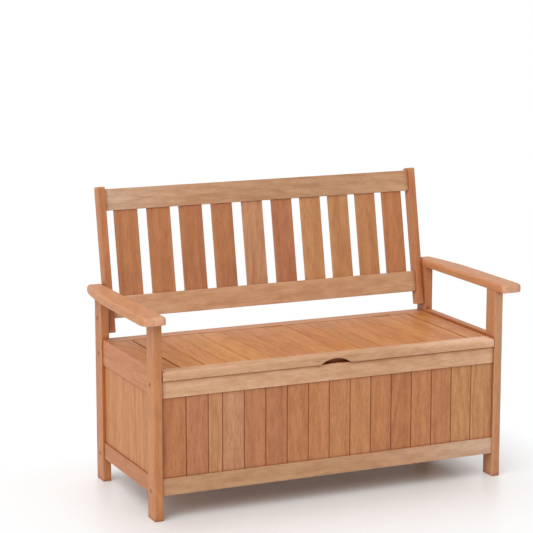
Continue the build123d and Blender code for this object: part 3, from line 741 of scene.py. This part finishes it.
FRONT_BOARDS = WoodFinish(
    "front_board", (0.538, 0.231, 0.100), (0.409, 0.154, 0.060), figure=0.7, fleck=1.3, corner_shade_share=1.4
)
RAILS = WoodFinish(
    "rail", (0.612, 0.355, 0.204), (0.500, 0.260, 0.133), figure=0.15, streak=2.4, cloud=2.4, corner_shade_share=0.9
)
# Rails where lid and box meet, with far stronger painted shade in the finger grip recess and the seam between
# them.
DEEP_SHADE_RAILS = replace(RAILS, name="rail_deep_shade", corner_shade_share=3.4)
SEAT = WoodFinish(
    "seat", (0.588, 0.247, 0.078), (0.457, 0.164, 0.043), figure=0.5, streak=2.6, fleck=1.5, fibre=1.4
)
POSTS = WoodFinish("post", (0.540, 0.231, 0.095), (0.438, 0.162, 0.063), streak=2.4)
ARMS = WoodFinish("arm", (0.590, 0.274, 0.123), (0.486, 0.195, 0.082), figure=0.28)
SLATS = WoodFinish(
    "slat", (0.518, 0.223, 0.093), (0.403, 0.150, 0.061), figure=0.15, streak=2.0, corner_shade_share=0.7
)
PANELS = WoodFinish("panel", (0.575, 0.250, 0.088), (0.446, 0.168, 0.053), figure=0.20, streak=2.4)
INSIDE = WoodFinish("inside", (0.560, 0.310, 0.165), (0.440, 0.210, 0.100), roughness=0.62, rubbed_and_highlit_edges=False)

ZINC = FittingFinish("zinc_plate", (0.66, 0.66, 0.63), (0.50, 0.50, 0.47), 0.26, 0.50, (600.0, 600.0, 60.0))
BRASS = FittingFinish(
    "aged_brass", (0.58, 0.30, 0.15), (0.43, 0.20, 0.095), 0.38, 0.60, (600.0, 600.0, 600.0)
)
BLACK_STEEL = FittingFinish(
    "black_steel", (0.030, 0.030, 0.033), (0.017, 0.017, 0.019), 0.32, 0.52, (900.0, 900.0, 900.0),
    metallic=0.0,
)
CHROME = FittingFinish(
    "rod_chrome", (0.80, 0.80, 0.82), (0.74, 0.74, 0.76), 0.05, 0.16, (700.0, 1500.0, 40.0)
)
PLASTIC = FittingFinish(
    "black_plastic", (0.034, 0.034, 0.036), (0.021, 0.021, 0.023), 0.42, 0.62, (1400.0, 1400.0, 1400.0),
    metallic=0.0, relief=0.00008,
)


@dataclass(frozen=True)
class Timber:
    """One wooden node: its finish, grain, tones and boards, and the seed and strength of its figure."""

    node: str
    finish: WoodFinish
    grain: Grain
    seed: float
    tone: Tone = Tone.PLAIN
    figure: float = 1.0
    row: Optional[BoardRow] = None
    run: tuple[Tone, ...] = ()
    # tone of the ends, a painted light on the end faces
    end_light_tone: Optional[Tone] = None

    def length(self) -> float:
        """The longest side of the node's box.

        Returns:
            The length in metres.
        """
        low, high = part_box(self.node)
        return float(max(b - a for a, b in zip(low, high)))

    def centre(self) -> tuple[float, float, float]:
        """The middle of the node; a row of boards keeps its own count across.

        Returns:
            The point in metres.
        """
        low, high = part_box(self.node)
        middle = [(a + b) / 2.0 for a, b in zip(low, high)]
        if self.row is not None:
            middle[0] = 0.0
        return tuple(middle)

    def toned(self, colour: Colour) -> Colour:
        """A colour of the finish as this timber's tone turns it."""
        return tuple(a * b for a, b in zip(colour, self.tone.value))

    def dress(self) -> None:
        """Give the node its material."""
        wear(self.node, self.finish.build(self))


def wear(node: str, material: bpy.types.Material) -> None:
    """Put a material on every slot of a CAD node.

    Args:
        node: the node's name.
        material: what it wears.
    """
    mesh = frame["nodes"][node].data
    if not mesh.materials:
        mesh.materials.append(material)
    for slot in range(len(mesh.materials)):
        mesh.materials[slot] = material
    LOG.info("dressed %s in %s", node, material.name)


def mesh_piece(name: str, points: np.ndarray, faces: np.ndarray, smooth: bool = True) -> bpy.types.Object:
    """A new mesh object at the origin.

    Args:
        name: the piece's name.
        points: one row of x, y, z per vertex, in metres.
        faces: one row of four vertex numbers per face.
        smooth: shade it smooth.

    Returns:
        The object, linked to the scene.
    """
    mesh = bpy.data.meshes.new(name)
    mesh.from_pydata(points.tolist(), [], faces.tolist())
    mesh.polygons.foreach_set("use_smooth", np.full(len(mesh.polygons), smooth))
    mesh.update()
    piece = bpy.data.objects.new(name, mesh)
    bpy.context.scene.collection.objects.link(piece)
    return piece


def turned_piece(
    name: str, profile: np.ndarray, centre: np.ndarray, axis: np.ndarray, steps: int = 48
) -> bpy.types.Object:
    """A closed ring turned on an axis.

    Each profile point (r, h) becomes the circle centre + h * axis + r * (cos t * side + sin t * up) for t
    once around, and neighbouring circles are joined; the profile is a closed loop.

    Args:
        name: the piece's name.
        profile: rows of radius and height, in metres, a closed loop seen with the axis pointing up.
        centre: where the axis starts.
        axis: its direction.
        steps: points around.

    Returns:
        The object.
    """
    direction = axis / np.linalg.norm(axis)
    side = np.array([1.0, 0.0, 0.0])
    side = side - direction * side.dot(direction)
    if np.linalg.norm(side) < TINY:
        side = np.array([0.0, 1.0, 0.0])
    side = side / np.linalg.norm(side)
    up = np.cross(direction, side)
    angle = np.linspace(0.0, 2.0 * math.pi, steps, endpoint=False)
    spokes = np.outer(np.cos(angle), side) + np.outer(np.sin(angle), up)
    rings = centre + profile[:, None, 1:2] * direction + profile[:, None, 0:1] * spokes[None, :, :]
    count = len(profile)
    ring, spoke = np.meshgrid(np.arange(count), np.arange(steps), indexing="ij")
    next_ring, next_spoke = (ring + 1) % count, (spoke + 1) % steps
    faces = np.stack(
        [
            ring * steps + spoke,
            ring * steps + next_spoke,
            next_ring * steps + next_spoke,
            next_ring * steps + spoke,
        ],
        axis=-1,
    ).reshape(-1, 4)
    return mesh_piece(name, rings.reshape(-1, 3), faces)


@dataclass(frozen=True)
class BoxFrame:
    """Posts, rails, panels, wall boards and floor of the storage box."""

    board_gap: float = 0.0004
    end_board_extra: float = 0.007
    narrow_board: int = 2
    narrow_pitch: float = 0.044
    plank_gap: float = 0.003
    plank_tones: tuple[Tone, ...] = (Tone.PLAIN, Tone.HONEY, Tone.AMBER, Tone.BROWN) * 3
    plank_figures: tuple[float, ...] = (0.6, 1.0, 0.4) * 4
    post_tones: tuple[Tone, Tone] = (Tone.AMBER, Tone.TAN)
    front_tones: tuple[Tone, ...] = (
        Tone.RUSSET, Tone.ROSE, Tone.STRAW, Tone.BLUSH, Tone.BROWN, Tone.BROWN, Tone.AMBER, Tone.AMBER,
        Tone.HONEY, Tone.HONEY, Tone.AMBER, Tone.RUSSET, Tone.AMBER, Tone.PLAIN, Tone.PALE, Tone.PALE,
    )
    front_figures: tuple[float, ...] = (
        0.3, 0.4, 0.5, 0.25, 0.2, 0.25, 0.3, 0.25, 0.25, 0.2, 0.25, 1.0, 0.3, 0.4, 0.7, 0.7,
    )
    front_top_run: tuple[Tone, ...] = (Tone.CREAM, Tone.CREAM, Tone.FAIR, Tone.CREAM)
    front_bottom_run: tuple[Tone, ...] = (Tone.DUSKY, Tone.DUSKY, Tone.DUSKY, Tone.BROWN, Tone.BLUSH)
    rear_tones: tuple[Tone, ...] = (
        Tone.HONEY, Tone.PLAIN, Tone.AMBER, Tone.RUSSET, Tone.PLAIN, Tone.BROWN, Tone.AMBER, Tone.HONEY,
        Tone.ROSE, Tone.PLAIN, Tone.ORANGE, Tone.BLUSH, Tone.RUSSET, Tone.AMBER, Tone.PLAIN, Tone.BROWN,
    )

    def wall(self, node: str, tones: tuple[Tone, ...], figures: tuple[float, ...]) -> BoardRow:
        """The boards of one wall, with wider ends and one narrow board.

        Args:
            node: the node that holds them.
            tones: one tone per board.
            figures: one strength of figure per board.

        Returns:
            The row.
        """
        return BoardRow.over(
            node, self.board_gap, tones, figures,
            end_extra=self.end_board_extra, narrow=self.narrow_board, narrow_pitch=self.narrow_pitch,
        )

    def timbers(self) -> list[Timber]:
        """The box's wooden nodes.

        Returns:
            One entry per node.
        """
        front = self.wall("front_boards", self.front_tones, self.front_figures)
        rear = self.wall("rear_boards", self.rear_tones, self.front_figures[::-1])
        floor = BoardRow.over("floor_boards", self.plank_gap, self.plank_tones, self.plank_figures)
        found = [
            Timber("front_boards", FRONT_BOARDS, Grain.ALONG_Z, 11.0, row=front),
            Timber("rear_boards", FRONT_BOARDS, Grain.ALONG_Z, 211.0, row=rear),
            Timber("front_top_rail", DEEP_SHADE_RAILS, Grain.ALONG_X, 31.0, run=self.front_top_run),
            Timber("front_bottom_rail", RAILS, Grain.ALONG_X, 32.0, run=self.front_bottom_run),
            Timber("rear_top_rail", RAILS, Grain.ALONG_X, 33.0),
            Timber("rear_bottom_rail", RAILS, Grain.ALONG_X, 34.0),
            Timber("hinge_rail", ARMS, Grain.ALONG_X, 35.0),
            Timber("floor_boards", INSIDE, Grain.ALONG_Y, 51.0, row=floor),
            Timber("floor_cleats", INSIDE, Grain.ALONG_X, 71.0),
            Timber("front_corner_battens", INSIDE, Grain.ALONG_Z, 72.0),
            Timber("rear_corner_battens", INSIDE, Grain.ALONG_Z, 73.0),
            Timber("dowels", INSIDE, Grain.ALONG_Y, 74.0),
        ]
        for number, (side, tone) in enumerate(zip(("left", "right"), self.post_tones)):
            found += [
                Timber(f"post_front_{side}", POSTS, Grain.ALONG_Z, 81.0 + number, tone),
                Timber(f"post_rear_{side}", POSTS, Grain.ALONG_Z, 83.0 + number),
                Timber(f"side_top_rail_{side}", POSTS, Grain.ALONG_Y, 85.0 + number, Tone.FAIR),
                Timber(f"side_bottom_rail_{side}", POSTS, Grain.ALONG_Y, 87.0 + number),
                Timber(f"side_panel_{side}", PANELS, Grain.ALONG_Z, 89.0 + number),
            ]
        return found

    def dress(self) -> None:
        """Give every node of the box its wood."""
        for timber in self.timbers():
            timber.dress()


@dataclass(frozen=True)
class Seating:
    """Armrests and the leaning back."""

    slat_figures: tuple[float, ...] = (0.5, 0.7, 0.6, 0.7, 3.0, 0.8, 1.6, 1.4, 1.0, 0.8)
    slat_tones: tuple[Tone, ...] = (
        Tone.PLAIN, Tone.PLAIN, Tone.BROWN, Tone.BROWN, Tone.BLUSH,
        Tone.ROSE, Tone.PALE, Tone.PALE, Tone.HONEY, Tone.FAIR,
    )
    top_figure: float = 2.5
    top_run: tuple[Tone, ...] = (Tone.TAN, Tone.BROWN, Tone.UMBER, Tone.UMBER, Tone.PLAIN)
    bottom_run: tuple[Tone, ...] = (Tone.CREAM, Tone.FAIR, Tone.FAIR, Tone.FAIR, Tone.HONEY)

    def dress(self) -> None:
        """Give the arms, stiles, rails and slats their wood."""
        for number, side in enumerate(("left", "right")):
            Timber(f"arm_{side}", ARMS, Grain.ALONG_Y, 101.0 + number, end_light_tone=Tone.SHELL).dress()
            Timber(f"back_stile_{side}", POSTS, Grain.UP_LEAN, 103.0 + number, end_light_tone=Tone.PALE).dress()
        Timber("back_top_rail", RAILS, Grain.ALONG_X, 105.0, figure=self.top_figure, run=self.top_run).dress()
        Timber("back_bottom_rail", RAILS, Grain.ALONG_X, 106.0, run=self.bottom_run).dress()
        for number, (tone, figure) in enumerate(zip(self.slat_tones, self.slat_figures)):
            Timber(f"back_slat_{number + 1}", SLATS, Grain.UP_LEAN, 110.0 + number, tone, figure).dress()


@dataclass(frozen=True)
class Lid:
    """The seat that lifts: boards, front rail, stiles and battens."""

    board_gap: float = 0.0004
    groove_share: float = 0.25
    tones: tuple[Tone, ...] = (
        Tone.PLAIN, Tone.PLAIN, Tone.HONEY, Tone.AMBER, Tone.BROWN, Tone.ROSE, Tone.AMBER,
        Tone.ORANGE, Tone.DUSKY, Tone.PLAIN, Tone.ORANGE, Tone.AMBER, Tone.PLAIN,
    )
    figures: tuple[float, ...] = (0.6, 0.9, 0.5, 1.0, 0.6, 0.8, 0.5, 1.0, 0.6, 0.8, 0.5, 0.9, 0.6)
    rail_run: tuple[Tone, ...] = (Tone.FAIR, Tone.PLAIN, Tone.PLAIN, Tone.CHALKY)

    def dress(self) -> None:
        """Give the lid its wood."""
        row = BoardRow.over(
            "lid_boards", self.board_gap, self.tones, self.figures, groove_share=self.groove_share
        )
        Timber("lid_boards", SEAT, Grain.ALONG_Y, 131.0, row=row).dress()
        Timber("lid_front_rail", DEEP_SHADE_RAILS, Grain.ALONG_X, 151.0, run=self.rail_run).dress()
        Timber("lid_stile_left", SEAT, Grain.ALONG_Y, 152.0, Tone.AMBER).dress()
        Timber("lid_stile_right", SEAT, Grain.ALONG_Y, 153.0, Tone.PLAIN).dress()
        Timber("lid_middle_batten", INSIDE, Grain.ALONG_X, 154.0).dress()
        Timber("lid_rear_batten", INSIDE, Grain.ALONG_X, 155.0).dress()


@dataclass(frozen=True)
class Fittings:
    """Bolts, screws, hinges and their pins."""

    def dress(self) -> None:
        """Give the metal nodes their plating."""
        zinc, brass = ZINC.build(), BRASS.build()
        for node in ("barrel_nuts", "frame_screws", "lid_screws"):
            wear(node, zinc)
        for node in ("frame_bolts", "hinge_frame_leaves", "hinge_lid_leaves", "hinge_pins"):
            wear(node, brass)


@dataclass(frozen=True)
class GasStruts:
    """The two struts that hold the lid up: black cylinders, bright rods, plastic ends, rubber wipers."""

    wiper_inner: float = 0.0032
    wiper_outer: float = 0.0056
    wiper_length: float = 0.0030
    wiper_lip: float = 0.0006
    wiper_root: float = 0.0010
    wiper_sink: float = 0.0015
    wiper_points: int = 9

    def dress(self) -> None:
        """Give the struts and their brackets their finishes, and add the wipers."""
        black, chrome, plastic = BLACK_STEEL.build(), CHROME.build(), PLASTIC.build()
        for node in ("strut_lid_brackets", "strut_box_brackets"):
            wear(node, black)
        for side in ("left", "right"):
            wear(f"strut_cylinder_{side}", black)
            wear(f"strut_rod_{side}", chrome)
            wear(f"strut_socket_{side}", plastic)
            self.wiper(side, plastic)

    def wiper(self, side: str, rubber: bpy.types.Material) -> None:
        """Add the ring that wipes the rod where it leaves the cylinder.

        The lip of its profile is a quarter of an ellipse: radius tip + (outer - tip) * cos t and height
        length * sin t, for t from 0 to a quarter turn. The tip lies one lip's width outside the rod's hole.

        Args:
            side: left or right.
            rubber: what it is made of.
        """
        joints = {joint["name"]: joint for joint in frame["joints"]}
        slide = joints[f"strut_{side}_slide"]
        swing = joints[f"strut_{side}_swing"]
        axis = np.array(slide["axis"], float)
        pivot = np.array(swing["pos_m"], float)
        low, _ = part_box(f"strut_cylinder_{side}")
        corner = np.array([pivot[0], low[1], low[2]]) - pivot
        end = float(corner.dot(axis)) - self.wiper_sink
        turn = np.linspace(0.0, math.pi / 2, self.wiper_points)
        tip = self.wiper_inner + self.wiper_lip
        lip_r = tip + (self.wiper_outer - tip) * np.cos(turn)
        lip_h = self.wiper_length * np.sin(turn)
        root = [[self.wiper_outer, -self.wiper_root]]
        outer = np.stack([lip_r, lip_h], axis=1)
        inner = [[self.wiper_inner, self.wiper_length - self.wiper_lip], [self.wiper_inner, -self.wiper_root]]
        profile = np.concatenate([root, outer, inner])
        piece = turned_piece(f"strut_wiper_{side}", profile, pivot + end * axis, axis)
        piece.data.materials.append(rubber)
        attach(piece, f"strut_{side}")
        LOG.info("added %s", piece.name)


@dataclass(frozen=True)
class Studio:
    """Pale floor, soft light and the camera of the photograph."""

    floor_half: float = 40.0
    floor_colour: Colour = (0.93, 0.925, 0.92)
    floor_dim: float = 0.985
    floor_clouds: Waves = Waves((3.0, 3.0, 3.0))
    sky: float = 0.44
    key_power: float = 830.0
    key_size: float = 9.0
    key_place: tuple[float, float, float] = (-6.0, -4.8, 7.35)
    top_power: float = 95.0
    top_size: float = 5.0
    top_place: tuple[float, float, float] = (0.6, 1.8, 6.5)
    lamp_aim: tuple[float, float, float] = (0.0, 0.0, 0.45)
    floor_gloss: float = 0.35
    fade_left: float = -0.50
    fade_right: float = 0.42
    fade_front: float = -0.30
    fade_rear: float = 0.20
    fade_start: float = 0.02
    fade_reach: float = 0.5
    fade_speed_right: float = 1.1
    fade_speed_front: float = 0.80
    fade_speed_rear: float = 2.0
    camera_place: tuple[float, float, float] = (-2.4566, -5.2216, 1.7232)
    camera_down: float = 10.527
    camera_turn: float = -24.268
    focal_pixels: float = 1952.78
    photo_pixels: float = 533.0

    def build(self) -> None:
        """Set up the whole studio."""
        self.floor()
        self.world()
        self.lamps()
        self.camera()
        bpy.context.scene.view_settings.view_transform = "Standard"

    def seen(self, graph: Graph) -> Socket:
        """Which rays show the background, to the camera or in metal and glass.

        Args:
            graph: the material's or the world's graph.

        Returns:
            1 for those rays and 0 for others.
        """
        path = graph.node("ShaderNodeLightPath").outputs
        shown = graph.math("MAXIMUM", path["Is Camera Ray"], path["Is Glossy Ray"])
        return graph.math("MAXIMUM", shown, path["Is Transmission Ray"])

    def floor(self) -> None:
        """A wide floor that takes the shadow near the bench and far from it glows white to the camera, a
        painted light over its shadow.
        """
        half = self.floor_half
        points = np.array([[-half, -half, 0], [half, -half, 0], [half, half, 0], [-half, half, 0]], float)
        piece = mesh_piece("floor", points, np.array([[0, 1, 2, 3]]), smooth=False)
        material, graph, shader, where = new_material("floor_pale")
        tree = material.node_tree
        shader.inputs["Roughness"].default_value = self.floor_gloss
        cloud = graph.level(where, self.floor_clouds)
        darker = tuple(self.floor_dim * c for c in self.floor_colour)
        graph.feed(shader.inputs["Base Color"], graph.mix(cloud, darker, self.floor_colour))
        # far from the bench the floor glows white to the camera: a backdrop, and painted light where it
        # covers the shadow
        white = graph.node("ShaderNodeEmission")
        blend = graph.node("ShaderNodeMixShader")
        graph.feed(blend.inputs[0], graph.math("MULTIPLY", self.fade(graph, where), self.seen(graph)))
        tree.links.new(shader.outputs[0], blend.inputs[1])
        tree.links.new(white.outputs[0], blend.inputs[2])
        tree.links.new(blend.outputs[0], tree.nodes["Material Output"].inputs["Surface"])
        piece.data.materials.append(material)

    def fade(self, graph: Graph, where: Socket) -> Socket:
        """How far the floor has faded to a white glow, which is painted light where it covers the bench's
        shadow.

        Each side has a line past which the fade starts and a speed. The fade is the length of (how far past
        the lines at the sides, how far past those before and behind), less the start, over the reach.

        Args:
            graph: the floor's graph.
            where: object coordinates.

        Returns:
            0 near the bench to 1 far from it.
        """
        x, y, _ = graph.split(where)
        left = graph.past(self.fade_left, x)
        right = graph.past(x, self.fade_right)
        beside = graph.math("MULTIPLY_ADD", right, self.fade_speed_right, left)
        behind = graph.math("MULTIPLY", graph.past(y, self.fade_rear), self.fade_speed_rear)
        ahead = graph.math("MULTIPLY_ADD", graph.past(self.fade_front, y), self.fade_speed_front, behind)
        away = graph.vector("LENGTH", graph.join(beside, ahead, 0.0))
        away = graph.math("SUBTRACT", away, self.fade_start)
        return graph.math("DIVIDE", away, self.fade_reach, clamp=True)

    def world(self) -> None:
        """An even white sky: softer as a light than it looks to the camera."""
        world = bpy.data.worlds.new("studio")
        world.use_nodes = True
        bpy.context.scene.world = world
        graph = Graph(world.node_tree)
        ground = world.node_tree.nodes["Background"]
        ground.inputs["Color"].default_value = (1.0, 1.0, 1.0, 1.0)
        strength = graph.math("MULTIPLY_ADD", self.seen(graph), 1.0 - self.sky, self.sky)
        graph.feed(ground.inputs["Strength"], strength)

    def lamps(self) -> None:
        """A large soft key above the left front, and a softer light from above and behind."""
        self.lamp("key", self.key_place, self.key_size, self.key_power)
        self.lamp("top", self.top_place, self.top_size, self.top_power)

    def lamp(self, name: str, spot: tuple, size: float, power: float) -> None:
        """Add one square lamp that faces the bench.

        Args:
            name: the lamp's name.
            spot: where it hangs, in metres.
            size: its side, in metres.
            power: its power in watts.
        """
        data = bpy.data.lights.new(name, "AREA")
        data.size = size
        data.energy = power
        lamp = bpy.data.objects.new(name, data)
        lamp.location = spot
        away = np.array(spot) - np.array(self.lamp_aim)
        lamp.rotation_euler = (
            math.atan2(math.hypot(away[0], away[1]), away[2]),
            0.0,
            math.atan2(away[1], away[0]) + math.pi / 2,
        )
        bpy.context.scene.collection.objects.link(lamp)

    def camera(self) -> None:
        """The camera that the photograph's edges give."""
        data = bpy.data.cameras.new("camera")
        data.sensor_fit = "HORIZONTAL"
        data.lens = data.sensor_width * (self.focal_pixels / self.photo_pixels)
        camera = bpy.data.objects.new("camera", data)
        camera.location = self.camera_place
        camera.rotation_euler = (math.radians(90.0 - self.camera_down), 0.0, math.radians(self.camera_turn))
        bpy.context.scene.collection.objects.link(camera)
        bpy.context.scene.camera = camera


def main() -> None:
    """Dress the bench and set up the studio."""
    logging.basicConfig(level=logging.INFO, format="%(message)s")
    TimberFigure().build()
    BoxFrame().dress()
    Seating().dress()
    Lid().dress()
    Fittings().dress()
    GasStruts().dress()
    Studio().build()


if __name__ == "__main__":
    main()
